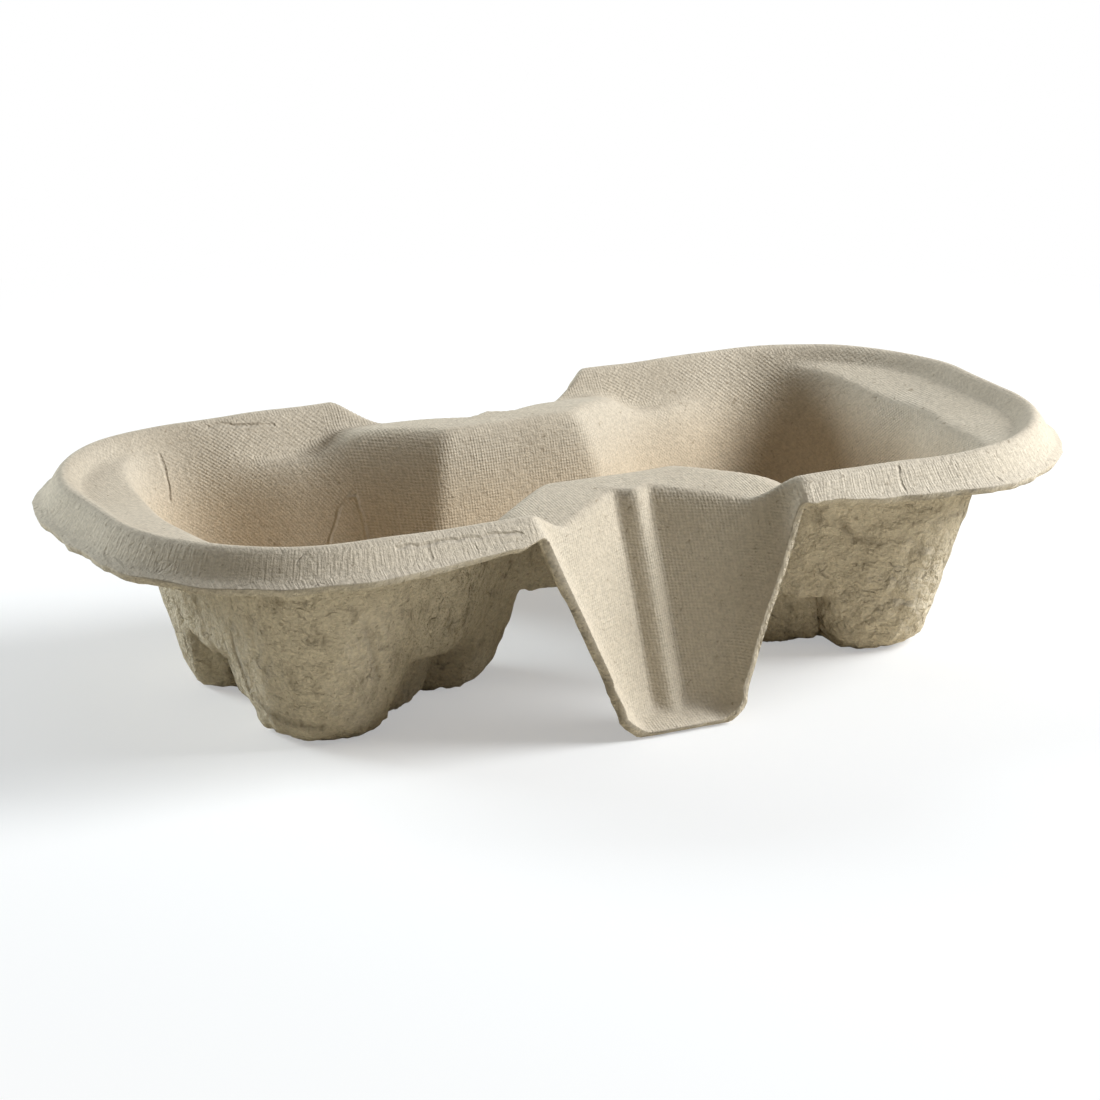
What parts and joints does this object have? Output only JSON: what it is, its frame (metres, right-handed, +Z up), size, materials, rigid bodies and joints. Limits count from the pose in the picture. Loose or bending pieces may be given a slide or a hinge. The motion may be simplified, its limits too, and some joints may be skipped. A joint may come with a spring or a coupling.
{
  "type": "cup carrier tray",
  "caption": "Moulded-fibre carrier tray: one pressed sheet with lobed cup pockets side by side, a rolled rim, a notch in each long side and a ribbed standing panel.",
  "frame": {"origin": "middle of the tray's footprint, on the plane it stands on", "axes": "+X along the long side, +Y across, +Z up"},
  "size_m": [0.2196, 0.1102, 0.0469],
  "materials": {
    "pulp": "uncoated moulded fibre, screen-marked above and rough below"
  },
  "bodies": {
    "root": {"cup_carrier": "pulp"}
  },
  "joints": []
}
